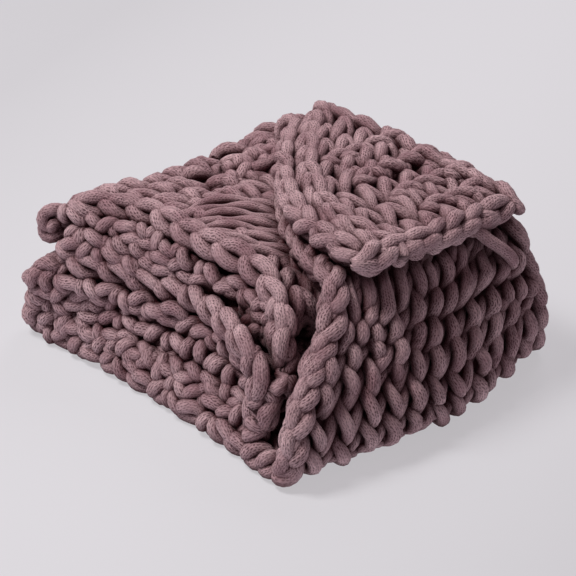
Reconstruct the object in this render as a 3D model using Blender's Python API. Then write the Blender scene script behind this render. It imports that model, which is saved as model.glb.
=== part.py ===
# Chunky knit throw, folded back and forth into a squarish stack, with its last turn lifted over the
# right side and its free corner laid on top. One continuous cloth, so one solid.
# Metres, +Z up. Origin at the middle of the footprint, on the floor.
# X runs across the folds, Y along them: the layers' edges show from -Y, the outer turn from +X.

import bpy
import numpy as np
from collections import namedtuple

MM = 0.001

# Where the round rims and ends of the cloth have their points, as angles from its upper side
RIM_ANGLES = np.radians((35, 90, 145))
END_ANGLES = np.radians((40, 75))

# Mesh density: rows of faces along a run, round a turn, and across the cloth
STEP_ALONG = 36.0
STEPS_A_RIB = 4
TURN_STEPS = 7
ACROSS = 13

# How much thinner the knit is pressed halfway round a turn
TURN_PRESSED = 0.22

# Moves the section sideways so that the footprint is centred on the origin
SHIFT_X = -29.7
SHIFT_Y = 16.3

# A run is one layer of the cloth from one turn to the next, in the order of the cloth, from the free
# end on the top left to the free end of the flap. All in mm.
# x0 z0 and x1 z1: start and end of the run's middle line, each at the (front, back) edge.
# bow: how far halfway across the cloth lies out from the line between the edges, in X at (start, end).
# belly: how far halfway along the run lies out of the straight line, in (X, Z).
# front, back: Y of the cloth's two edges at (start, middle, end). thick: of the knit, pressed or loose.
# ribs: how much thicker than its hollows a raised row is, and the pitch of such rows, where they show.
Run = namedtuple("Run", "name x0 z0 x1 z1 bow belly front back thick ribs")
PLAIN = (0, 0)

RUNS = (
    Run("top", (-178, -166), (137, 136), (116, 140), (136, 122), (14, 12), (0, 5),
        (-168, -92, -116), (110, 126, 138), 26, (3, 56)),
    Run("second", (118, 144), (107, 92), (-160, -152), (84, 88), (12, 0), (0, 12),
        (-134, -110, -194), (142, 150, 150), 24, PLAIN),
    Run("third", (-161, -154), (55, 59), (146, 152), (78, 65), (0, 16), (0, 5),
        (-196, -146, -152), (150, 156, 150), 23, PLAIN),
    Run("fourth", (146, 152), (47, 37), (-170, -160), (32, 33), (16, 0), (0, -1),
        (-162, -170, -192), (154, 160, 154), 18.5, PLAIN),
    Run("floor", (-172, -162), (10, 10), (198, 190), (10, 10), (0, 24), (0, 0),
        (-192, -180, -186), (156, 164, 160), 20, PLAIN),
    Run("side", (216, 206), (32, 32), (184, 190), (128, 120), (26, 6), (6, 0),
        (-180, -158, -104), (158, 154, 146), 25, PLAIN),
    Run("under_flap", (158, 164), (162, 147), (-70, -70), (165, 163), (4, 0), (0, 1),
        (-76, -30, 82), (142, 132, 118), 17, PLAIN),
    Run("flap", (-72, -72), (190, 188.5), (182, 176), (186, 172), (0, 4), (0, 3),
        (82, -38, -56), (118, 132, 142), 24, (3, 33)),
)


def across(pair, t, middle=0.0):
    """Value at t across the cloth: straight from its front edge to its back edge, bowed by middle."""
    front, back = pair
    return front + (back - front) * t + middle * 4 * t * (1 - t)


def along(three, a):
    """Value at a along a run: the parabola through its start, middle and end."""
    start, middle, end = three
    return start * (1 - a) * (1 - 2 * a) + middle * 4 * a * (1 - a) + end * a * (2 * a - 1)


def run_rows(run, t):
    """Points of one run's middle line across the cloth, row by row along the run, and their thickness."""
    length = np.hypot(run.x1[0] - run.x0[0], run.z1[0] - run.z0[0])
    start = np.stack([across(run.x0, t, run.bow[0]), across(run.z0, t)], -1)
    end = np.stack([across(run.x1, t, run.bow[1]), across(run.z1, t)], -1)
    height, pitch = run.ribs
    waves = round(length / pitch) if height else 0
    steps = waves * STEPS_A_RIB or max(3, round(length / STEP_ALONG))
    rows = []
    for a in np.linspace(0, 1, steps + 1):
        xz = start + (end - start) * a + np.array(run.belly) * 4 * a * (1 - a)
        y = across((along(run.front, a), along(run.back, a)), t)
        raised = height * (0.5 - 0.5 * np.cos(2 * np.pi * waves * a))
        rows.append((np.stack([xz[:, 0], y, xz[:, 1]], -1), run.thick + raised - height / 2))
    return rows


def turn_rows(before, after, thick_before, thick_after):
    """Rows round the turn that joins two runs: a cubic curve that leaves one and meets the next in line."""
    end, start = before[-1], after[0]
    leave = end - before[-2]
    meet = after[1] - start
    leave = leave[:, ::2] / np.linalg.norm(leave[:, ::2], axis=1, keepdims=True)
    meet = meet[:, ::2] / np.linalg.norm(meet[:, ::2], axis=1, keepdims=True)
    turned = np.arccos(np.clip((leave * meet).sum(1), -1, 1))
    chord = np.linalg.norm((start - end)[:, ::2], axis=1)
    reach = (4 / 3 * np.tan(turned / 4) * chord / (2 * np.sin(turned / 2)))[:, None]
    p0, p3 = end[:, ::2], start[:, ::2]
    p1, p2 = p0 + leave * reach, p3 - meet * reach
    rows = []
    for a in np.linspace(0, 1, TURN_STEPS + 1)[1:-1]:
        b = 1 - a
        xz = b**3 * p0 + 3 * b * b * a * p1 + 3 * b * a * a * p2 + a**3 * p3
        y = end[:, 1] * b + start[:, 1] * a
        pressed = 1 - TURN_PRESSED * (1 - (2 * a - 1) ** 4)
        rows.append((np.stack([xz[:, 0], y, xz[:, 1]], -1), (thick_before * b + thick_after * a) * pressed))
    return rows


def cloth_rows():
    """All rows of the cloth's middle surface, from free end to free end."""
    t = np.linspace(0, 1, ACROSS)
    runs = [run_rows(run, t) for run in RUNS]
    rows = list(runs[0])
    for before, after in zip(runs, runs[1:]):
        points = [row for row, _ in before], [row for row, _ in after]
        rows += turn_rows(*points, before[-1][1], after[0][1]) + after
    return rows


def unit(vectors):
    return vectors / np.linalg.norm(vectors, axis=-1, keepdims=True)


def rounded_ends(middle, thick):
    """The rows with more added past each free end, thinner and thinner, so that the ends are round."""
    first, last = [], []
    for angle in END_ANGLES:
        out, thin = np.sin(angle) / 2, np.cos(angle)
        first.insert(0, (middle[0] + unit(middle[0] - middle[1]) * thick[0] * out, thick[0] * thin))
        last.append((middle[-1] + unit(middle[-1] - middle[-2]) * thick[-1] * out, thick[-1] * thin))
    rows = first + list(zip(middle, thick)) + last
    return np.array([row for row, _ in rows]), np.array([t for _, t in rows])


def section_loops(middle, thick):
    """A closed loop of points round the cloth at each row: its upper side, back rim, lower side, front rim."""
    along_cloth = unit(np.gradient(middle, axis=0))
    across_cloth = unit(np.gradient(middle, axis=1))
    normal = unit(np.cross(along_cloth, across_cloth))
    half = thick[:, None, None] / 2
    upper = middle + normal * half
    lower = middle - normal * half
    rims = []
    for edge, side, angles in ((-1, 1, RIM_ANGLES), (0, -1, RIM_ANGLES[::-1])):
        out = unit(np.cross(normal[:, edge], along_cloth[:, edge])) * side
        rims.append([
            middle[:, edge] + (out * np.sin(angle) + normal[:, edge] * np.cos(angle)) * half[:, 0]
            for angle in angles
        ])
    back, front = (np.stack(rim, 1) for rim in rims)
    return np.concatenate([upper, back, lower[:, ::-1], front], axis=1)


def cap_faces(base, flip):
    """Faces that close one end of the cloth, from its upper side to its lower side."""
    rim = len(RIM_ANGLES)
    lower = 2 * ACROSS + rim - 1
    faces = [(base + j, base + j + 1, base + lower - j - 1, base + lower - j) for j in range(ACROSS - 1)]
    faces.append(tuple(base + ACROSS - 1 + k for k in range(rim + 2)))
    faces.append((base + lower, *(base + lower + 1 + k for k in range(rim)), base))
    return [face[::-1] for face in faces] if flip else faces


def cloth_object(name, material):
    """The middle surface given its thickness, with round rims and ends."""
    rows = cloth_rows()
    middle = np.array([row for row, _ in rows])
    thick = np.array([t for _, t in rows], float)
    loops = section_loops(*rounded_ends(middle, thick))
    loops[..., 2] = np.maximum(loops[..., 2], 0)
    count, size = loops.shape[:2]
    points = (loops.reshape(-1, 3) + (SHIFT_X, SHIFT_Y, 0)) * MM
    faces = [
        (i * size + j, (i + 1) * size + j, (i + 1) * size + (j + 1) % size, i * size + (j + 1) % size)
        for i in range(count - 1)
        for j in range(size)
    ]
    faces += cap_faces(0, False) + cap_faces((count - 1) * size, True)
    mesh = bpy.data.meshes.new(name)
    mesh.from_pydata(points.tolist(), [], faces)
    mesh.materials.append(material)
    mesh.shade_smooth()
    return bpy.data.objects.new(name, mesh)


def yarn_material():
    material = bpy.data.materials.new("plum_tube_yarn")
    material.use_nodes = True
    shader = material.node_tree.nodes["Principled BSDF"]
    shader.inputs["Base Color"].default_value = (0.235, 0.130, 0.145, 1)
    shader.inputs["Roughness"].default_value = 0.92
    shader.inputs["Metallic"].default_value = 0.0
    return material


def main():
    for old in list(bpy.data.objects):
        bpy.data.objects.remove(old)
    group = bpy.data.collections.new("chunky_knit_blanket")
    bpy.context.scene.collection.children.link(group)
    group.objects.link(cloth_object("blanket", yarn_material()))


main()
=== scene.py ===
# Chunky knit throw, folded into a stack: one continuous tube yarn, looped course by course along the folds.
# Tables are in mm, meshes in metres. +X across the folds, -Y the layers' edges, +Z up.
import math

import bpy
import numpy as np
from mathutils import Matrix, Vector


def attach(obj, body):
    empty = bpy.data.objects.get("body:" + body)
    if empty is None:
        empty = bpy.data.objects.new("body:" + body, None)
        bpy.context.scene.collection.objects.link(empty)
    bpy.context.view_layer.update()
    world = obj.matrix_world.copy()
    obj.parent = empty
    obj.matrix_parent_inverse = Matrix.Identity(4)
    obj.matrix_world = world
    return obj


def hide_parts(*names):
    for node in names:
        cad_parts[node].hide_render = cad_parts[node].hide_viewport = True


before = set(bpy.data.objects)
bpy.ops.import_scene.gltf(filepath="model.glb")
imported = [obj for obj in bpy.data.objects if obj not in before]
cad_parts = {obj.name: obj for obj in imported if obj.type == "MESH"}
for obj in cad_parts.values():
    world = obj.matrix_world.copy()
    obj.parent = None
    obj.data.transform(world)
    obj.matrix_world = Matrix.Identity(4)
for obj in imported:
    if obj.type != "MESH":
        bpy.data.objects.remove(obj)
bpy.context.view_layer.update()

mm = 0.001

# The folded cloth, layer by layer from the free end on the top left to the free end of the flap.
# x0 z0, x1 z1: a layer's start and end at the (front, back) edge; bow: how far halfway across lies out, in X;
# belly: how far halfway along lies out, in (X, Z); front, back: Y of the edges at (start, middle, end).
# thick: of the knit; wales: columns of stitches across; course: length of a stitch;
# outer: side of the cloth that is outermost in the stack; face: side that the V stitches show on.
# radius, jitter and lap take the place of the yarn's own values on that layer.
layers = [
    dict(name="top", x0=(-164, -152), z0=(137, 136), x1=(116, 140), z1=(136, 122), bow=(14, 12), belly=(0, 5),
         front=(-164, -92, -116), back=(112, 126, 138), thick=27, wales=9, course=30, outer=1, face=1,
         radius=7.0, jitter=3.2),
    dict(name="second", x0=(118, 144), z0=(107, 92), x1=(-160, -152), z1=(84, 88), bow=(12, 0), belly=(0, 12),
         front=(-134, -110, -194), back=(142, 150, 150), thick=25, wales=11, course=27, outer=-1, face=1),
    dict(name="third", x0=(-161, -154), z0=(55, 59), x1=(146, 152), z1=(78, 65), bow=(0, 16), belly=(0, 5),
         front=(-196, -146, -152), back=(150, 156, 150), thick=24, wales=11, course=27, outer=1, face=-1),
    dict(name="fourth", x0=(146, 152), z0=(47, 37), x1=(-170, -160), z1=(32, 33), bow=(16, 0), belly=(0, -1),
         front=(-162, -170, -192), back=(154, 160, 154), thick=20, wales=10, course=33, outer=-1, face=1),
    dict(name="floor", x0=(-172, -162), z0=(12, 12), x1=(198, 190), z1=(12, 12), bow=(0, 24), belly=(0, 0),
         front=(-192, -180, -186), back=(156, 164, 160), thick=22, wales=11, course=27, outer=1, face=1),
    dict(name="side", x0=(216, 206), z0=(32, 32), x1=(184, 190), z1=(128, 120), bow=(26, 6), belly=(6, 0),
         front=(-180, -158, -104), back=(158, 154, 146), thick=27, wales=11, course=27, outer=-1, face=-1,
         lap=3.6, jitter=4.2, radius=6.0),
    dict(name="underFlap", x0=(158, 164), z0=(162, 147), x1=(-70, -70), z1=(165, 163), bow=(4, 0), belly=(0, 1),
         front=(-76, -30, 82), back=(142, 132, 118), thick=18, wales=8, course=34, outer=-1, face=-1),
    dict(name="flap", x0=(-72, -72), z0=(190, 188.5), x1=(182, 176), z1=(186, 172), bow=(0, 4), belly=(0, 3),
         front=(82, -38, -56), back=(118, 132, 142), thick=23, wales=8, course=33, outer=1, face=1),
]
fold = {
    "shift": (-29.7, 16.3),  # moves the section so that its footprint is centred on the origin
    "rowStep": 5.0,  # spacing of the worked-out rows along a layer
    "turnRows": 14,  # rows round each turn
    "acrossPoints": 41,
    "pressed": 0.22,  # how much thinner the knit is pressed in a turn
    "walePitch": 28.0,  # where the cloth is a corner, as many wales as fit at this width
    "rollRadius": 12.0,  # the top layer's free end rolls under, so far round
    "rollTurned": 3.3,
    "rollRows": 12,
    "cornerFrom": 6,  # from this layer on the cloth is a corner, not full width
}
yarn = {
    "radius": 6.4,
    "sides": 10,
    "samples": 30,  # points along one stitch
    "waist": 0.33,  # how far a loop draws in at its foot and spreads at its head, in wales
    "nested": 14.0,  # how far a loop reaches into the next one
    "fromEdge": 7.0,  # where the courses turn back, inside the edge's rope
    "plump": 0.24,  # legs are fatter than heads by this
    "lap": 1.2,  # one leg of a stitch lies higher than the other by twice this
    "skew": 3.0,  # and further along by twice this
    "jitter": 2.2,
    "wander": 4.5,
    "lumps": 0.05,  # uneven thickness, in radii
    "purls": 0.12,  # share of the top layer's stitches that show their other side
    "turnOver": 0.24,  # part of a stitch in which the yarn changes sides, each way
    "firstRow": 16.0,
    "lastRow": 20.0,  # from the cloth's far end
    "mostTriangles": 180000,  # in one piece
    "shiftedMap": 17.3,  # how far the pattern is shifted from ring to ring
}
rng = np.random.default_rng(11)


def unit(vectors):
    return vectors / np.maximum(np.linalg.norm(vectors, axis=-1, keepdims=True), 1e-9)


# sRGB hex to linear red, green, blue, alpha
def linear(hexColour):
    parts = [int(hexColour[i:i + 2], 16) / 255 for i in (1, 3, 5)]
    return tuple(p / 12.92 if p <= 0.04045 else ((p + 0.055) / 1.055) ** 2.4 for p in parts) + (1.0,)


# Straight from the front value to the back value, bowed by middle: f + (b - f) t + m 4 t (1 - t)
def across(pair, t, middle=0.0):
    return pair[0] + (pair[1] - pair[0]) * t + middle * 4 * t * (1 - t)


# The parabola through a layer's start, middle and end values
def along(three, a):
    return three[0] * (1 - a) * (1 - 2 * a) + three[1] * 4 * a * (1 - a) + three[2] * a * (2 * a - 1)


# A layer's middle surface on a grid: start + (end - start) a, with its belly, and Y from its edges
def layerGrid(layer, t):
    length = math.hypot(layer["x1"][0] - layer["x0"][0], layer["z1"][0] - layer["z0"][0])
    a = np.linspace(0, 1, max(3, round(length / fold["rowStep"])))[:, None]
    x = across(layer["x0"], t, layer["bow"][0]) * (1 - a) + across(layer["x1"], t, layer["bow"][1]) * a
    z = across(layer["z0"], t) * (1 - a) + across(layer["z1"], t) * a
    x = x + layer["belly"][0] * 4 * a * (1 - a)
    z = z + layer["belly"][1] * 4 * a * (1 - a)
    y = across((along(layer["front"], a), along(layer["back"], a)), t)
    return np.stack([x, y, z], -1)


# Round a turn: a cubic curve in XZ that leaves one layer and meets the next in line
def turnGrid(before, after):
    end, start = before[-1], after[0]
    leave = unit((end - before[-2])[:, ::2])
    meet = unit((after[1] - start)[:, ::2])
    turned = np.arccos(np.clip((leave * meet).sum(1), -1, 1))
    chord = np.linalg.norm((start - end)[:, ::2], axis=1)
    reach = (4 / 3 * np.tan(turned / 4) * chord / (2 * np.sin(turned / 2)))[:, None]
    a = np.linspace(0, 1, fold["turnRows"] + 2)[1:-1, None, None]
    b = 1 - a
    p0, p3 = end[:, ::2], start[:, ::2]
    xz = b**3 * p0 + 3 * b * b * a * (p0 + leave * reach) + 3 * b * a * a * (p3 - meet * reach) + a**3 * p3
    y = end[:, 1] * b[..., 0] + start[:, 1] * a[..., 0]
    return np.stack([xz[..., 0], y, xz[..., 1]], -1), a[:, 0, 0]


# The free end rolls under: start + back R sin phi - normal R (1 - cos phi)
def rolledEnd(grid):
    back = unit(grid[0] - grid[1])
    normal = unit(np.cross(-back, unit(np.gradient(grid[0], axis=0))))
    phi = np.linspace(fold["rollTurned"], 0, fold["rollRows"], endpoint=False)[:, None, None]
    return grid[0] + (back * np.sin(phi) - normal * (1 - np.cos(phi))) * fold["rollRadius"]


# The whole cloth as one grid of points and normals, with each row's length along the cloth and its knit
def clothMap():
    t = np.linspace(0, 1, fold["acrossPoints"])
    grids = [layerGrid(layer, t) for layer in layers]
    first = layers[0]
    points = [rolledEnd(grids[0])]
    own = [first["thick"], first["wales"], first["course"], 1, first["face"], 0]
    values = [np.tile(own, (fold["rollRows"], 1))]
    for i, (layer, grid) in enumerate(zip(layers, grids)):
        own = [layer["thick"], layer["wales"], layer["course"], layer["outer"], layer["face"], i]
        points.append(grid)
        values.append(np.tile(own, (len(grid), 1)))
        if i + 1 < len(layers):
            following = layers[i + 1]
            turn, a = turnGrid(grid, grids[i + 1])
            pressed = 1 - fold["pressed"] * (1 - (2 * a - 1) ** 4)
            late = a > 0.5
            points.append(turn)
            values.append(np.stack([
                (layer["thick"] * (1 - a) + following["thick"] * a) * pressed,
                np.where(late, following["wales"], layer["wales"]),
                layer["course"] * (1 - a) + following["course"] * a,
                layer["outer"] * (1 - a) + following["outer"] * a,
                layer["face"] * (1 - a) + following["face"] * a,
                np.where(late, i + 1, i),
            ], -1))
    points = np.concatenate(points)
    values = np.concatenate(values).T
    acrossWay = unit(np.gradient(points, axis=1))
    alongWay = unit(np.gradient(points, axis=0))
    steps = np.linalg.norm(np.diff(points, axis=0), axis=2).mean(1)
    return {
        "points": points,
        "normals": unit(np.cross(alongWay, acrossWay)),
        "across": acrossWay,
        "along": alongWay,
        "s": np.concatenate([[0], np.cumsum(steps)]),
        "width": np.linalg.norm(np.diff(points, axis=1), axis=2).sum(1),
        **dict(zip(("thick", "wales", "course", "outer", "face", "layer"), values)),
    }


cloth = clothMap()


def atRow(name, s):
    return np.interp(s, cloth["s"], cloth[name])


# Where a point s along, q across and w off the middle surface is; past the ends and edges it runs on straight
def place(s, q, w):
    held = np.clip(s, 0, cloth["s"][-1])
    row = np.interp(held, cloth["s"], np.arange(len(cloth["s"])))
    width = atRow("width", held)
    inner = np.clip(q, 0, width)
    column = inner / width * (fold["acrossPoints"] - 1)
    i = np.minimum(row.astype(int), len(cloth["s"]) - 2)
    j = np.minimum(column.astype(int), fold["acrossPoints"] - 2)
    fi, fj = (row - i)[:, None], (column - j)[:, None]

    def mixed(name):
        grid = cloth[name]
        near = grid[i, j] * (1 - fj) + grid[i, j + 1] * fj
        far = grid[i + 1, j] * (1 - fj) + grid[i + 1, j + 1] * fj
        return near * (1 - fi) + far * fi

    normal = unit(mixed("normals"))
    centre = mixed("points") + unit(mixed("across")) * (q - inner)[:, None]
    centre = centre + unit(mixed("along")) * (s - held)[:, None]
    return centre + normal * w[:, None], normal


# Slow, smooth unevenness over the cloth: a sum of sine waves in random directions
def waves(s, q, size, seed, count=7, longest=170.0, shortest=60.0):
    own = np.random.default_rng(seed)
    pitch = own.uniform(shortest, longest, count)
    way = own.uniform(0, 2 * np.pi, count)
    phase = own.uniform(0, 2 * np.pi, count)
    turns = 2 * np.pi * (np.outer(s, np.cos(way) / pitch) + np.outer(q, np.sin(way) / pitch)) + phase
    return np.sin(turns).sum(1) * size / math.sqrt(count)


# Values at each stitch, run smoothly into one another: a (1 - f) + b f, with f = f f (3 - 2 f)
def eased(knots, k):
    base = np.clip(k.astype(int), 0, len(knots) - 2)
    f = np.clip(k - base, 0, 1)
    f = f * f * (3 - 2 * f)
    return knots[base] * (1 - f) + knots[base + 1] * f


# A stitch's legs rise over the head before and dive under the next feet: -cos 2 (tau + 0.22 sin tau)
def rise(tau):
    return -np.cos(2 * (tau + 0.22 * np.sin(tau)))


# One course of loops: across W (tau / 2 pi + waist sin 2 tau), along s0 + skew sin tau - h cos tau,
# off the middle surface face (lap sin tau + depth rise(tau)), each a little uneven
def coursePath(number, s0):
    row = int(np.argmin(np.abs(cloth["s"] - s0)))
    width = float(atRow("width", s0))
    across = width - 2 * yarn["fromEdge"]
    corner = cloth["layer"][row] >= fold["cornerFrom"]
    n = max(1, round(across / fold["walePitch"])) if corner else int(cloth["wales"][row])
    tau = np.linspace(0, 2 * np.pi * n, n * yarn["samples"] + 1)
    k = tau / (2 * np.pi)
    pitch = across / n
    course = float(atRow("course", s0))
    layer = layers[int(round(atRow("layer", s0)))]
    knots = rng.normal(0, layer.get("jitter", yarn["jitter"]), (4, n + 2))
    height = (course + yarn["nested"]) / 2 * (1 + 0.02 * eased(knots[0], k))
    s = s0 - height * np.cos(tau) + yarn["skew"] * np.sin(tau) + eased(knots[1], k)
    q = yarn["fromEdge"] + pitch * (k + yarn["waist"] * np.sin(2 * tau)) + eased(knots[2], k) * 0.7
    calm = np.clip(np.minimum(k, n - k), 0, 1)
    s = s + waves(s, q, yarn["wander"], 3) * calm
    q = q + waves(s, q, yarn["wander"] * 0.7, 4) * calm
    depth = np.maximum(atRow("thick", s) / 2 - yarn["radius"] * 0.9, 2.5)
    face = stitchFace(number, s0, k, n)
    lap = layer.get("lap", yarn["lap"])
    w = face * (lap * np.sin(tau) + depth * rise(tau)) + eased(knots[3], k) * 0.5
    shown = face * np.sign(cloth["outer"][row])
    lumps = rng.normal(0, yarn["lumps"], 3 * n + 2)
    radius = layer.get("radius", yarn["radius"]) * (1 + yarn["plump"] * shown * rise(tau) + eased(lumps, 3 * k))
    path = np.stack([s, q, w, radius], -1)
    return path if number % 2 == 0 else path[::-1]


# Which side the V stitches show on, from stitch to stitch across a course
def stitchFace(number, s0, k, n):
    index = int(round(atRow("layer", s0)))
    face = np.full(n + 2, float(layers[index]["face"]))
    name = layers[index]["name"]
    if name == "top":
        face[2:] = np.where(rng.random(n) < yarn["purls"], -1, 1)
    step = yarn["turnOver"]
    base = np.clip(np.floor(k - 0.5).astype(int), -1, n - 1)
    f = np.clip((k - 0.5 - base - (0.5 - step)) / (2 * step), 0, 1)
    f = f * f * (3 - 2 * f)
    return face[np.maximum(base, 0)] * (1 - f) + face[base + 1] * f


# The yarn turns back at the end of each course, bulging out a little
def turnBack(before, after, outward):
    a = np.linspace(0, 1, 9)[1:-1, None]
    path = before * (1 - a) + after * a
    path[:, 1] += outward * 3.0 * np.sin(np.pi * a[:, 0])
    return path


# Courses one after another along the cloth, every other one run backwards, joined at the selvages
def wholeYarn():
    s, rows = yarn["firstRow"], []
    while s < cloth["s"][-1] - 12:
        rows.append(s)
        s += float(atRow("course", s))
    rows = np.interp(rows, [rows[0], rows[-1]], [rows[0], cloth["s"][-1] - yarn["lastRow"]])
    pieces = []
    for number, s0 in enumerate(rows):
        path = coursePath(number, s0)
        if pieces:
            pieces.append(turnBack(pieces[-1][-1], path[0], 1 if number % 2 else -1))
        pieces.append(path)
    return np.concatenate(pieces)


# A tube round each path: a ring is centre + r (side cos phi + lift sin phi); its map runs along and round.
# Where the path comes too near the floor, it's held up to one radius, so that the yarn rests there.
# centre and up are (paths, points, 3); a closed path meets itself, an open one gets a cap at each end.
def tubeArrays(centre, up, radius, closed=False):
    sides = yarn["sides"]
    paths, count = centre.shape[:2]
    centre = centre.copy()
    centre[..., 2] = np.maximum(centre[..., 2], radius)
    if closed:
        tangent = unit(np.roll(centre, -1, 1) - np.roll(centre, 1, 1))
        gaps = np.linalg.norm(np.roll(centre, -1, 1) - centre, axis=2)
    else:
        tangent = unit(np.gradient(centre, axis=1))
        gaps = np.linalg.norm(np.diff(centre, axis=1), axis=2)
    side = unit(np.cross(tangent, up))
    lift = np.cross(side, tangent)
    phi = 2 * np.pi * np.arange(sides)[:, None] / sides
    ring = side[:, :, None] * np.cos(phi) + lift[:, :, None] * np.sin(phi)
    points = centre[:, :, None] + ring * radius[..., None, None]
    p, i, j = np.meshgrid(np.arange(paths), np.arange(gaps.shape[1]), np.arange(sides), indexing="ij")
    first, second = (p * count + i) * sides, (p * count + (i + 1) % count) * sides
    following = (j + 1) % sides
    quads = np.stack([first + following, second + following, second + j, first + j], -1)
    run = np.concatenate([np.zeros((paths, 1)), np.cumsum(gaps, axis=1)], 1)
    run = run + np.arange(paths)[:, None] * yarn["shiftedMap"]
    run = run / (2 * np.pi * yarn["radius"])
    u = np.stack([run[p, i], run[p, i + 1], run[p, i + 1], run[p, i]], -1)
    v = np.stack([j + 1, j + 1, j, j], -1) / sides
    start = np.arange(paths)[:, None] * count * sides + np.arange(sides)
    caps = np.zeros((0, sides), int) if closed else np.concatenate([start, start[:, ::-1] + (count - 1) * sides])
    return points.reshape(-1, 3), quads.reshape(-1, 4), np.stack([u, v], -1).reshape(-1, 4, 2), caps


# Points, four-cornered faces and end caps to a mesh object with its yarn map
def meshObject(name, points, quads, maps, caps, material):
    mesh = bpy.data.meshes.new(name)
    corners = np.concatenate([quads.ravel(), caps.ravel()]).astype(np.int32)
    starts = np.arange(len(quads)) * 4
    if caps.size:
        starts = np.concatenate([starts, quads.size + np.arange(len(caps)) * caps.shape[1]])
    mesh.vertices.add(len(points))
    placed = (points + np.array([*fold["shift"], 0.0])) * mm
    mesh.vertices.foreach_set("co", placed.astype(np.float32).ravel())
    mesh.loops.add(len(corners))
    mesh.loops.foreach_set("vertex_index", corners)
    mesh.polygons.add(len(starts))
    mesh.polygons.foreach_set("loop_start", starts.astype(np.int32))
    layer = mesh.uv_layers.new(name="yarnMap")
    uv = np.zeros((len(corners), 2), np.float32)
    uv[:quads.size] = maps.reshape(-1, 2)
    layer.data.foreach_set("uv", uv.ravel())
    mesh.materials.append(material)
    mesh.update(calc_edges=True)
    mesh.validate()
    mesh.shade_smooth()
    made = bpy.data.objects.new(name, mesh)
    bpy.context.scene.collection.objects.link(made)
    return made


# Adds a node. links: input names, with _ for a space, or i0, i1 ... by place, to sockets or plain values
def node(tree, kind, settings=None, **links):
    made = tree.nodes.new(kind)
    for key, value in (settings or {}).items():
        setattr(made, key, value)
    for key, value in links.items():
        byPlace = key[0] == "i" and key[1:].isdigit()
        socket = made.inputs[int(key[1:]) if byPlace else key.replace("_", " ")]
        if isinstance(value, bpy.types.NodeSocket):
            tree.links.new(value, socket)
        else:
            socket.default_value = value
    return made


# One Math node's result
def sums(tree, operation, first, second=0.0, third=0.0):
    return node(tree, "ShaderNodeMath", {"operation": operation}, i0=first, i1=second, i2=third).outputs[0]


yarnLook = {
    "light": "#e8c6cd",
    "deep": "#b28c95",
    # hole: colour of the painted shade in the pinholes and creases
    "hole": "#45232a",
    "columns": 18,  # fine stitches round the tube, 2.2 mm wide, drawn coarse enough to show
    "rows": 11,  # and in one girth of length, 3.7 mm long
    "holeSize": 0.27,
    "bump": 0.0014,
    "paintedGapShade": 0.018,  # painted shade: where strands come nearer together than this, the colour is darkened towards the dark plum below
    "paintedShadeColour": "#421018",
}
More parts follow.
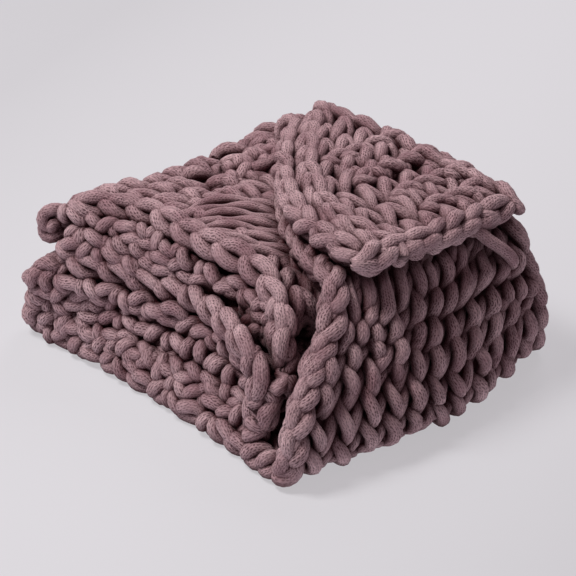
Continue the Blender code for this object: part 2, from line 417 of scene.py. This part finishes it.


# Tube yarn, soft fibre machine-knitted into a tube: matt, with fine stitches in columns round it,
# a pinhole between each two and long soft creases, both darkened with painted shade,
# and painted shade of dark plum where strands crowd together
def tubeYarn():
    material = bpy.data.materials.new("plumTubeYarn")
    material.use_nodes = True
    tree = material.node_tree
    shader = tree.nodes["Principled BSDF"]
    shader.inputs["Roughness"].default_value = 0.88
    shader.inputs["Specular IOR Level"].default_value = 0.18
    shader.inputs["Sheen Weight"].default_value = 0.25
    shader.inputs["Sheen Roughness"].default_value = 0.5
    shader.inputs["Sheen Tint"].default_value = linear("#d9c3c8")
    uv = node(tree, "ShaderNodeUVMap", {"uv_map": "yarnMap"}).outputs[0]
    parts = node(tree, "ShaderNodeSeparateXYZ", i0=uv)
    wobble = node(tree, "ShaderNodeTexNoise", {"noise_dimensions": "2D"}, Vector=uv, Scale=9.0, Detail=3.0).outputs[0]
    wobble = sums(tree, "MULTIPLY_ADD", wobble, 1.6, -0.8)
    x = sums(tree, "MULTIPLY_ADD", parts.outputs[1], yarnLook["columns"], wobble)
    y = sums(tree, "MULTIPLY_ADD", parts.outputs[0], yarnLook["rows"], wobble)
    odd = sums(tree, "FLOORED_MODULO", sums(tree, "FLOOR", x), 2.0)
    shifted = sums(tree, "MULTIPLY_ADD", odd, 0.5, y)
    fx = sums(tree, "SUBTRACT", sums(tree, "FRACT", x), 0.5)
    fy = sums(tree, "SUBTRACT", sums(tree, "FRACT", shifted), 0.5)
    far = sums(tree, "SQRT", sums(tree, "ADD", sums(tree, "POWER", sums(tree, "ABSOLUTE", fx), 2.0),
                                  sums(tree, "MULTIPLY", sums(tree, "POWER", sums(tree, "ABSOLUTE", fy), 2.0), 0.42)))
    size = yarnLook["holeSize"]
    hole = node(tree, "ShaderNodeMapRange", {"interpolation_type": "SMOOTHSTEP"}, Value=far, From_Min=size * 0.45,
                From_Max=size * 1.25, To_Min=1.0, To_Max=0.0).outputs[0]
    patches = node(tree, "ShaderNodeTexNoise", {"noise_dimensions": "2D"}, Vector=uv, Scale=2.3, Detail=3.0).outputs[0]
    patches = node(tree, "ShaderNodeMapRange", {}, Value=patches, From_Min=0.36, From_Max=0.62, To_Min=0.55,
                   To_Max=1.0).outputs[0]
    hole = sums(tree, "MULTIPLY", hole, patches)
    stretched = node(tree, "ShaderNodeVectorMath", {"operation": "MULTIPLY"}, i0=uv, i1=(0.75, 5.0, 1.0)).outputs[0]
    crease = node(tree, "ShaderNodeTexNoise", {"noise_dimensions": "2D"}, Vector=stretched, Scale=1.7, Detail=2.0,
                  Distortion=0.3).outputs[0]
    crease = sums(tree, "ABSOLUTE", sums(tree, "SUBTRACT", crease, 0.5))
    crease = node(tree, "ShaderNodeMapRange", {"interpolation_type": "SMOOTHSTEP"}, Value=crease, From_Min=0.0,
                  From_Max=0.035, To_Min=1.0, To_Max=0.0).outputs[0]
    where = node(tree, "ShaderNodeTexCoord").outputs["Object"]
    tone = node(tree, "ShaderNodeTexNoise", {}, Vector=where, Scale=28.0, Detail=3.0).outputs[0]
    fuzz = node(tree, "ShaderNodeTexNoise", {}, Vector=where, Scale=900.0, Detail=3.0).outputs[0]
    tone = node(tree, "ShaderNodeMapRange", {}, Value=tone, From_Min=0.3, From_Max=0.7).outputs[0]
    base = node(tree, "ShaderNodeMix", {"data_type": "RGBA"}, Factor=tone)
    base.inputs[6].default_value = linear(yarnLook["deep"])
    base.inputs[7].default_value = linear(yarnLook["light"])
    # Painted shade: the colour is darkened towards the hole colour in the pinholes and, more lightly, along the creases
    dark = sums(tree, "MAXIMUM", sums(tree, "MULTIPLY", hole, 0.78), sums(tree, "MULTIPLY", crease, 0.25))
    colour = node(tree, "ShaderNodeMix", {"data_type": "RGBA"}, Factor=dark)
    tree.links.new(base.outputs[2], colour.inputs[6])
    colour.inputs[7].default_value = linear(yarnLook["hole"])
    # Painted shade: an ambient occlusion node darkens the colour towards dark plum where strands crowd together
    paintedGapShade = node(tree, "ShaderNodeAmbientOcclusion", {"samples": 6}, Distance=yarnLook["paintedGapShade"]).outputs["AO"]
    paintedGapShade = node(tree, "ShaderNodeMapRange", {}, Value=paintedGapShade, From_Min=0.34, From_Max=1.0).outputs[0]
    shaded = node(tree, "ShaderNodeMix", {"data_type": "RGBA"}, Factor=paintedGapShade)
    shaded.inputs[6].default_value = linear(yarnLook["paintedShadeColour"])
    tree.links.new(colour.outputs[2], shaded.inputs[7])
    tree.links.new(shaded.outputs[2], shader.inputs["Base Color"])
    rib = sums(tree, "COSINE", sums(tree, "MULTIPLY", fx, 2 * math.pi))
    height = sums(tree, "MULTIPLY_ADD", rib, 0.22, sums(tree, "MULTIPLY", hole, -0.8))
    height = sums(tree, "MULTIPLY_ADD", crease, -0.45, height)
    height = sums(tree, "MULTIPLY_ADD", fuzz, 0.35, height)
    dents = node(tree, "ShaderNodeTexNoise", {}, Vector=where, Scale=140.0, Detail=2.0).outputs[0]
    height = sums(tree, "MULTIPLY_ADD", dents, 2.2, height)
    bump = node(tree, "ShaderNodeBump", {}, Strength=0.85, Distance=yarnLook["bump"], Height=height)
    tree.links.new(bump.outputs[0], shader.inputs["Normal"])
    return material


# Painted shade sheet: a matt, nearly black plum surface deep between the loops that stands for the shade there
def shadowedKnit():
    material = bpy.data.materials.new("paintedShadeSheet")
    material.use_nodes = True
    tree = material.node_tree
    shader = tree.nodes["Principled BSDF"]
    shader.inputs["Roughness"].default_value = 1.0
    shader.inputs["Specular IOR Level"].default_value = 0.05
    where = node(tree, "ShaderNodeTexCoord").outputs["Object"]
    tone = node(tree, "ShaderNodeTexNoise", {}, Vector=where, Scale=60.0, Detail=3.0).outputs[0]
    colour = node(tree, "ShaderNodeMix", {"data_type": "RGBA"}, Factor=tone)
    colour.inputs[6].default_value = linear("#2c181c")
    colour.inputs[7].default_value = linear("#4a3036")
    tree.links.new(colour.outputs[2], shader.inputs["Base Color"])
    return material


yarnMaterial = tubeYarn()
shadeSheetMaterial = shadowedKnit()


def addPiece(piece):
    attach(piece, "root")
    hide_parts("blanket")
    return piece


# The looped yarn
path = wholeYarn()
centre, up = place(path[:, 0], path[:, 1], path[:, 2])
most = yarn["mostTriangles"] // (2 * yarn["sides"])
parts = math.ceil(len(path) / most)
edges = np.linspace(0, len(path) - 1, parts + 1).astype(int)
for number, (first, last) in enumerate(zip(edges, edges[1:])):
    chosen = slice(first, last + 1)
    arrays = tubeArrays(centre[None, chosen], up[None, chosen], path[None, chosen, 3])
    addPiece(meshObject(f"loopedYarn{number + 1}", *arrays, yarnMaterial))
print("looped yarn:", len(path), "points in", parts, "pieces")

# The chains of slipped stitches that make a rope of each edge. Round a guide line a ring of yarn is at
# v = skew sin tau - h cos tau, angle = facing - spread sin tau (1 - slant cos tau),
# R = standOff + lap sin tau - depth standOff (1 - rise(tau)) / 2.
rope = {
    "depth": 0.86,  # how far head and foot dive in, in stand-offs
    "spread": 0.8,
    "slant": 0.7,
    "plump": 0.1,
    "lap": 1.3,  # one leg lies higher than the other by twice this
    "skew": 4.0,  # and further on by twice this
    "points": 32,
    "jitter": 1.5,  # of each stitch along the rope
}


# How far along a line each of its points is
def lengths(points):
    return np.concatenate([[0], np.cumsum(np.linalg.norm(np.diff(points, axis=0), axis=1))])


# A guide along one edge of the cloth, from layer first to layer last, drawn in by inset
def edgeGuide(column, outward, first, last, inset=0.0):
    rows = (cloth["layer"] >= first) & (cloth["layer"] <= last)
    points = cloth["points"][rows, column] - cloth["across"][rows, column] * outward * inset
    return {
        "points": points, "out": cloth["across"][rows, column] * outward, "normals": cloth["normals"][rows, column],
        "outer": cloth["outer"][rows], "s": lengths(points),
    }


# A guide across the cloth at one row
def endGuide(row, outward, first=0):
    points = cloth["points"][row, first:]
    return {
        "points": points, "out": cloth["along"][row, first:] * outward, "normals": cloth["normals"][row, first:],
        "outer": np.ones(len(points)), "s": lengths(points),
    }


# A smooth line through given points, Catmull-Rom:
# p = (2 b + (c - a) f + (2 a - 5 b + 4 c - d) f f + (3 b - a - 3 c + d) f f f) / 2
def smoothLine(points, steps=12):
    p = np.array(points, float)
    p = np.concatenate([[2 * p[0] - p[1]], p, [2 * p[-1] - p[-2]]])
    a, b, c, d = (p[i:len(p) - 3 + i, None] for i in range(4))
    f = np.linspace(0, 1, steps, endpoint=False)[:, None]
    line = (2 * b + (c - a) * f + (2 * a - 5 * b + 4 * c - d) * f**2 + (3 * b - a - 3 * c + d) * f**3) / 2
    return np.concatenate([line.reshape(-1, 3), p[-2:-1]])


# A guide through given points: out is square to the line and to upright
def handGuide(points, out, upright=(0.0, 0.0, 1.0)):
    line = smoothLine(points)
    way = unit(np.gradient(line, axis=0))
    normals = unit(upright - (way * upright).sum(1, keepdims=True) * way)
    outward = np.cross(way, normals)
    outward *= np.sign((outward * out).sum(1, keepdims=True))
    return {"points": line, "out": outward, "normals": normals, "outer": np.ones(len(line)), "s": lengths(line)}


# lean: angle of the chain's face from the guide's upper or outer side; standOff: the legs' distance from the guide
def chain(name, guide, lean, standOff=11.0, radius=6.8, pitch=31.0, nested=18.0, tilt=0.15, twist=0.0, turned=0.0,
          start=6.0):
    length = guide["s"][-1]
    centres = np.arange(start, length - 5, pitch)
    count = len(centres)
    tau = np.linspace(0, 2 * np.pi, rope["points"], endpoint=False)[None]
    own = rng.normal(0, 1, (5, count, 1))
    height = (pitch + nested) / 2 * (1 + 0.05 * own[1])
    reachOut = standOff + own[3] * 0.6
    up = rope["skew"] * np.sin(tau) - height * np.cos(tau)
    over = -rope["spread"] * reachOut * np.sin(tau) * (1 - rope["slant"] * np.cos(tau))
    turn = turned + own[4] * tilt
    v = centres[:, None] + own[0] * rope["jitter"] + up * np.cos(turn) - over * np.sin(turn)
    held = np.clip(v, 0, length)
    outer = np.interp(centres, guide["s"], guide["outer"])[:, None]
    facing = np.pi / 2 + (lean + twist * np.sin(centres[:, None] / 41) - np.pi / 2) * outer
    angle = facing + own[2] * tilt * 0.5 + (up * np.sin(turn) + over * np.cos(turn)) / reachOut

    def at(values):
        return np.stack([np.interp(held, guide["s"], values[:, c]) for c in range(3)], -1)

    middle, out, normal = at(guide["points"]), unit(at(guide["out"])), unit(at(guide["normals"]))
    reach = reachOut + rope["lap"] * np.sin(tau) - rope["depth"] * standOff * (1 - rise(tau)) / 2
    radial = out * np.sin(angle)[..., None] + normal * np.cos(angle)[..., None]
    way = unit(at(np.gradient(guide["points"], axis=0)))
    centre = middle + radial * reach[..., None] + way * (v - held)[..., None]
    thickness = radius * (1 + rope["plump"] * rise(tau)) * (1 + 0.03 * own[1])
    addPiece(meshObject(name, *tubeArrays(centre, radial, thickness, closed=True), yarnMaterial))


# The two chains that show most: points are (x, y, z)
topEdge = [(-136, -150, 146), (-118, -138, 148), (-95, -126, 148), (-62, -116, 150), (-8, -114, 150),
           (52, -110, 150), (98, -112, 147), (120, -115, 143)]
topEnd = [(112, -119, 146), (128, -124, 140), (141, -132, 127), (150, -140, 110), (156, -146, 92)]
secondEdge = [(-112, -170, 97), (-81, -159, 101), (-38, -145, 99), (0, -137, 101), (54, -138, 102), (92, -147, 105),
              (124, -158, 104), (148, -164, 90), (157, -166, 66), (158, -170, 44)]
chain("topChain", handGuide(topEdge, (0, -1, 0)), 0.55, standOff=12.5, radius=7.7, pitch=32, tilt=0.07,
      turned=0.2)
chain("topChainEnd", handGuide(topEnd, (0, -1, 0)), 0.7, standOff=9.5, radius=7.0, pitch=27, nested=13, tilt=0.12,
      turned=0.2)
chain("secondChain", handGuide(secondEdge, (0, -1, 0)), 1.15, standOff=12.5, radius=7.6, pitch=34, nested=19,
      tilt=0.15, turned=0.5, twist=0.2)
# Knots and bumps between them, and down the stack's front right corner
for number, (points, size) in enumerate((
    ([(-150, -163, 141), (-124, -154, 138), (-86, -140, 139), (-40, -128, 139), (10, -124, 138)], 0.92),
    ([(-138, -168, 125), (-112, -160, 126), (-85, -150, 127), (-45, -138, 127), (0, -128, 127)], 0.97),
    ([(-136, -174, 111), (-120, -170, 112), (-90, -158, 114), (-50, -144, 114), (-5, -130, 115),
      (40, -122, 117)], 1.0),
    ([(20, -120, 128), (60, -120, 127), (100, -122, 125), (135, -130, 120), (152, -136, 112)], 1.0),
    ([(136, -122, 130), (154, -132, 122), (166, -142, 108), (168, -150, 92), (168, -158, 72),
      (170, -166, 52)], 1.05),
    ([(150, -160, 84), (158, -170, 62), (163, -175, 40), (168, -180, 22)], 1.1),
    ([(120, -160, 12), (150, -170, 12), (176, -176, 13)], 1.1),
    ([(-130, -184, 79), (-97, -174, 78), (-60, -162, 79), (-20, -152, 81), (30, -148, 84)], 1.0),
)):
    chain(f"knots{number + 1}", handGuide(points, (0, -1, 0)), 1.35, standOff=10.5 * size, radius=7.0 * size,
          pitch=22 * size, nested=10, tilt=0.7, turned=0.5)
for name, first, last, lean, settings in (
    ("topLower", 0, 0, 1.9, dict(tilt=0.3, pitch=27, nested=14)),
    ("secondFront", 1, 1, 1.5, dict(tilt=0.5, pitch=23, nested=10, radius=7.0)),
    ("thirdFront", 2, 2, 1.4, dict(tilt=0.55, pitch=23, nested=10, radius=7.1)),
    ("fourthFront", 3, 3, 1.5, dict(tilt=0.5, pitch=23, nested=10, radius=7.0, standOff=10.0)),
    ("floorFront", 4, 4, 1.35, dict(tilt=0.55, pitch=25, nested=12, radius=7.0, standOff=10.0)),
    ("sideFront", 5, 6, 0.75, dict(tilt=0.18, turned=0.55, pitch=24.5, nested=10, radius=7.2, standOff=11.0)),
    ("sideInner", 5, 5, 2.0, dict(tilt=0.25, turned=0.4, pitch=26, nested=14, radius=7.2)),
    ("underFlapFront", 6, 6, 1.6, dict(tilt=0.7, pitch=23, nested=10, radius=6.8, standOff=9.0, start=30)),
    ("flapFront", 7, 7, 0.8, dict(tilt=0.12, turned=0.25, pitch=29, nested=12, radius=6.6, standOff=9.0)),
    ("flapLower", 7, 7, 2.1, dict(tilt=0.15, pitch=30)),
):
    chain(name, edgeGuide(0, -1, first, last), lean, **settings)
for name, first, last, tilt in (("backStack", 0, 4, 0.5), ("backSide", 5, 5, 0.2), ("backFlap", 6, 7, 0.3)):
    guide = edgeGuide(-1, 1, first, last)
    chain(name + "Outer", guide, 0.85, tilt=tilt, twist=0.2)
    chain(name + "Inner", guide, 2.1, tilt=tilt, twist=0.2, pitch=27, start=16)
chain("castOffUpper", endGuide(-1, 1), 0.8, pitch=28, start=0)
chain("castOffLower", endGuide(-1, 1), 2.0, pitch=28, start=10)
# Knots that lie on the top layer behind its drawn strands
for number, points in enumerate((
    [(-146, 44, 136), (-143, 66, 136), (-146, 88, 136), (-146, 106, 134)],
    [(-116, 20, 139), (-118, 48, 139), (-120, 76, 139), (-122, 102, 138), (-124, 118, 136)],
    [(-90, 8, 141), (-92, 34, 142), (-95, 60, 142), (-98, 86, 142), (-100, 110, 140)],
)):
    chain(f"topKnots{number + 1}", handGuide(points, (-1, 0, 0)), 0.1, standOff=9.5, radius=7.2, pitch=25, nested=12,
          tilt=0.5, turned=0.5)
chain("flapInner", edgeGuide(0, -1, 7, 7, inset=25.0), 0.1, standOff=11.5, radius=7.0, pitch=31, tilt=0.1, turned=0.1,
      start=40)
# Garter ridges over the back half of the flap: chains that lie on it
ridges = {"layer": 7, "from": ((24, 16), (70, 20), (114, 22), (152, 24))}  # X of each and its first point
flapRows = np.where(cloth["layer"] == ridges["layer"])[0]
for number, (x, first) in enumerate(ridges["from"]):
    row = flapRows[np.argmin(np.abs(cloth["points"][flapRows, 0, 0] - x))]
    chain(f"ridge{number + 1}", endGuide(row, 1, first), 0.0, standOff=11.0, radius=6.7, pitch=25, nested=12, tilt=0.3,
          turned=0.55)
print("edge chains done")

# Loose loops of the edges that fill the gaps between the layers: round the line halfway between two edges
gap = {
    "inset": (0.0, 0.0, 4.0, 4.0),
    "standOff": 12.5,
    "radius": 7.2,
    "pitch": 23.0,
    "nested": 10.0,
    "tilt": 0.7,
    "points": 60,
}


# Halfway between the edges of two layers, from 8 mm inside one end to 12 mm inside the other
def gapGuide(upper, lower, column, outward):
    lines = []
    for index in (upper, lower):
        edge = cloth["points"][cloth["layer"] == index][:, column]
        lines.append(edge[np.argsort(edge[:, 0])])
    x = np.linspace(max(e[0, 0] for e in lines) + 8, min(e[-1, 0] for e in lines) - 12, gap["points"])
    points = np.mean([[x, np.interp(x, e[:, 0], e[:, 1]), np.interp(x, e[:, 0], e[:, 2])] for e in lines], axis=0).T
    points[:, 1] -= outward * gap["inset"][upper]
    return {
        "points": points, "out": np.tile([0.0, outward, 0.0], (len(x), 1)), "outer": np.ones(len(x)),
        "normals": np.tile([0.0, 0.0, 1.0], (len(x), 1)), "s": lengths(points),
    }


for name, column, outward in (("frontLoops", 0, -1), ("backLoops", -1, 1)):
    for upper in range(1 if outward < 0 else 0, 4):
        chain(f"{name}{upper + 1}", gapGuide(upper, upper + 1, column, outward), 1.45, standOff=gap["standOff"],
              radius=gap["radius"], pitch=gap["pitch"], nested=gap["nested"], tilt=gap["tilt"],
              start=2 + 7 * (upper % 2))
print("loose loops done")

# Single strands: the fan of drawn strands on the top layer, and long ones on the side
strands = {
    "radius": 5.9,
    "count": 8,
    "first": [(-66, -102, 144), (-60, -84, 150), (-53, -58, 154), (-36, -34, 156), (-6, -20, 156),
              (30, -10, 153), (62, -4, 147)],
    "last": [(6, -108, 144), (14, -103, 150), (30, -96, 153), (48, -88, 152), (66, -76, 149),
             (80, -62, 145), (90, -48, 139)],
    "twist": 2.2,  # pairs of strands wind round each other so far
    "windLength": 9,
    "onSide": [(176, 70, 176), (193, 80, 172), (204, 92, 160), (209, 104, 146), (209, 116, 132),
               (200, 126, 120)],
    "sideRadius": 6.6,
}


# One strand along a smooth line, wound a little: wind sin (run / windLength + turns), a quarter turn on in Z
def strand(name, line, radius, lift, turns, wind):
    points = smoothLine(line, 12)
    run = lengths(points)[:, None]
    points = points + wind * np.sin(run / strands["windLength"] + turns + np.array([0.0, 0.0, np.pi / 2]))
    arrays = tubeArrays(points[None], np.tile(lift, (1, len(points), 1)), np.full((1, len(points)), radius))
    addPiece(meshObject(name, *arrays, yarnMaterial))


for number, f in enumerate(np.linspace(0, 1, strands["count"])):
    line = np.array(strands["first"]) * (1 - f) + np.array(strands["last"]) * f
    strand(f"fan{number + 1}", line, strands["radius"], [0.0, 0.0, 1.0], np.pi * number + number // 2, strands["twist"])
strand("sideStrand", strands["onSide"], strands["sideRadius"], [1.0, 0.0, 0.3], 0.0, 1.0)
print("strands done")

# The painted shade sheet, the thin middle surface that closes the gaps between loops and shows there as shade
grid = cloth["points"][2:-3, 2:-2:2]
count, size = grid.shape[:2]
i, j = np.meshgrid(np.arange(count - 1), np.arange(size - 1), indexing="ij")
quads = np.stack([i * size + j, (i + 1) * size + j, (i + 1) * size + j + 1, i * size + j + 1], -1).reshape(-1, 4)
maps = np.zeros((len(quads), 4, 2))
shadeSheet = meshObject("paintedShadeSheet", grid.reshape(-1, 3), quads, maps, np.zeros((0, 4), int), shadeSheetMaterial)
addPiece(shadeSheet)
print("ground:", len(quads), "faces, cloth", round(cloth["s"][-1]), "mm long")

floorLook = {
    "size": 14.0,
    "base": "#8b8d92",
    # glow: colour of the painted light the floor gives off
    "glow": "#dcd9dd",
    "brightest": 0.695,
    "dimmest": 0.58,
    "falloff": -0.62,
    "way": (0.735, 0.292, 0.0),  # across the picture, along which the glow falls off
    "middle": 0.06,
}


# Seamless paper, matt and pale, with painted light: it glows by emission, which lightens the blanket's shadow on it
# and falls off across the picture; its strength = the larger of dimmest and brightest + falloff (way . place +
# middle)^2
def paperFloor():
    bpy.ops.mesh.primitive_plane_add(size=floorLook["size"], location=(0, 0, 0))
    made = bpy.context.object
    made.name = "floor"
    material = bpy.data.materials.new("paleFloor")
    material.use_nodes = True
    tree = material.node_tree
    shader = tree.nodes["Principled BSDF"]
    shader.inputs["Base Color"].default_value = linear(floorLook["base"])
    shader.inputs["Emission Color"].default_value = linear(floorLook["glow"])
    shader.inputs["Roughness"].default_value = 0.9
    shader.inputs["Specular IOR Level"].default_value = 0.1
    spot = node(tree, "ShaderNodeTexCoord").outputs["Object"]
    aside = node(tree, "ShaderNodeVectorMath", {"operation": "DOT_PRODUCT"}, i0=spot, i1=floorLook["way"])
    aside = sums(tree, "ABSOLUTE", sums(tree, "ADD", aside.outputs["Value"], floorLook["middle"]))
    glow = sums(tree, "MULTIPLY_ADD", sums(tree, "POWER", aside, 2.0), floorLook["falloff"], floorLook["brightest"])
    glow = sums(tree, "MAXIMUM", glow, floorLook["dimmest"])
    tree.links.new(glow, shader.inputs["Emission Strength"])
    made.data.materials.append(material)
    return made


floor = paperFloor()

view = {
    "azimuth": 48.25, "elevation": 30.0, "distance": 2.4, "lens": 141.5,
    "target": (0.0018, 0.0472),  # along the picture's right and up, from the section's origin
}
azimuth, elevation = math.radians(view["azimuth"]), math.radians(view["elevation"])
level = math.cos(elevation)
toCamera = Vector((math.sin(azimuth) * level, -math.cos(azimuth) * level, math.sin(elevation)))
right = Vector((math.cos(azimuth), math.sin(azimuth), 0))
upWay = toCamera.cross(right)
shift = Vector((fold["shift"][0] * mm, fold["shift"][1] * mm, 0))
target = right * view["target"][0] + upWay * view["target"][1] + shift
camera = bpy.data.objects.new("camera", bpy.data.cameras.new("camera"))
camera.data.lens = view["lens"]
camera.data.sensor_width = 36
camera.location = target + toCamera * view["distance"]
camera.rotation_euler = (-toCamera).to_track_quat("-Z", "Y").to_euler()
bpy.context.scene.collection.objects.link(camera)
bpy.context.scene.camera = camera


# A square lamp that faces the origin
def areaLight(name, place, size, power, colour):
    lamp = bpy.data.lights.new(name, "AREA")
    lamp.shape = "SQUARE"
    lamp.size = size
    lamp.energy = power
    lamp.color = linear(colour)[:3]
    made = bpy.data.objects.new(name, lamp)
    made.location = place
    made.rotation_euler = (-Vector(place)).to_track_quat("-Z", "Y").to_euler()
    bpy.context.scene.collection.objects.link(made)


areaLight("keyLight", (-1.1, -1.15, 3.1), 1.0, 84, "#fffaf6")
areaLight("backLight", (-1.0, 2.2, 2.4), 1.6, 22, "#fff8fa")
world = bpy.data.worlds.new("studio")
world.use_nodes = True
world.node_tree.nodes["Background"].inputs[0].default_value = linear("#ebcfd4")
world.node_tree.nodes["Background"].inputs[1].default_value = 0.14
bpy.context.scene.world = world
bpy.context.scene.view_settings.view_transform = "Standard"
print("floor, camera and lights done")
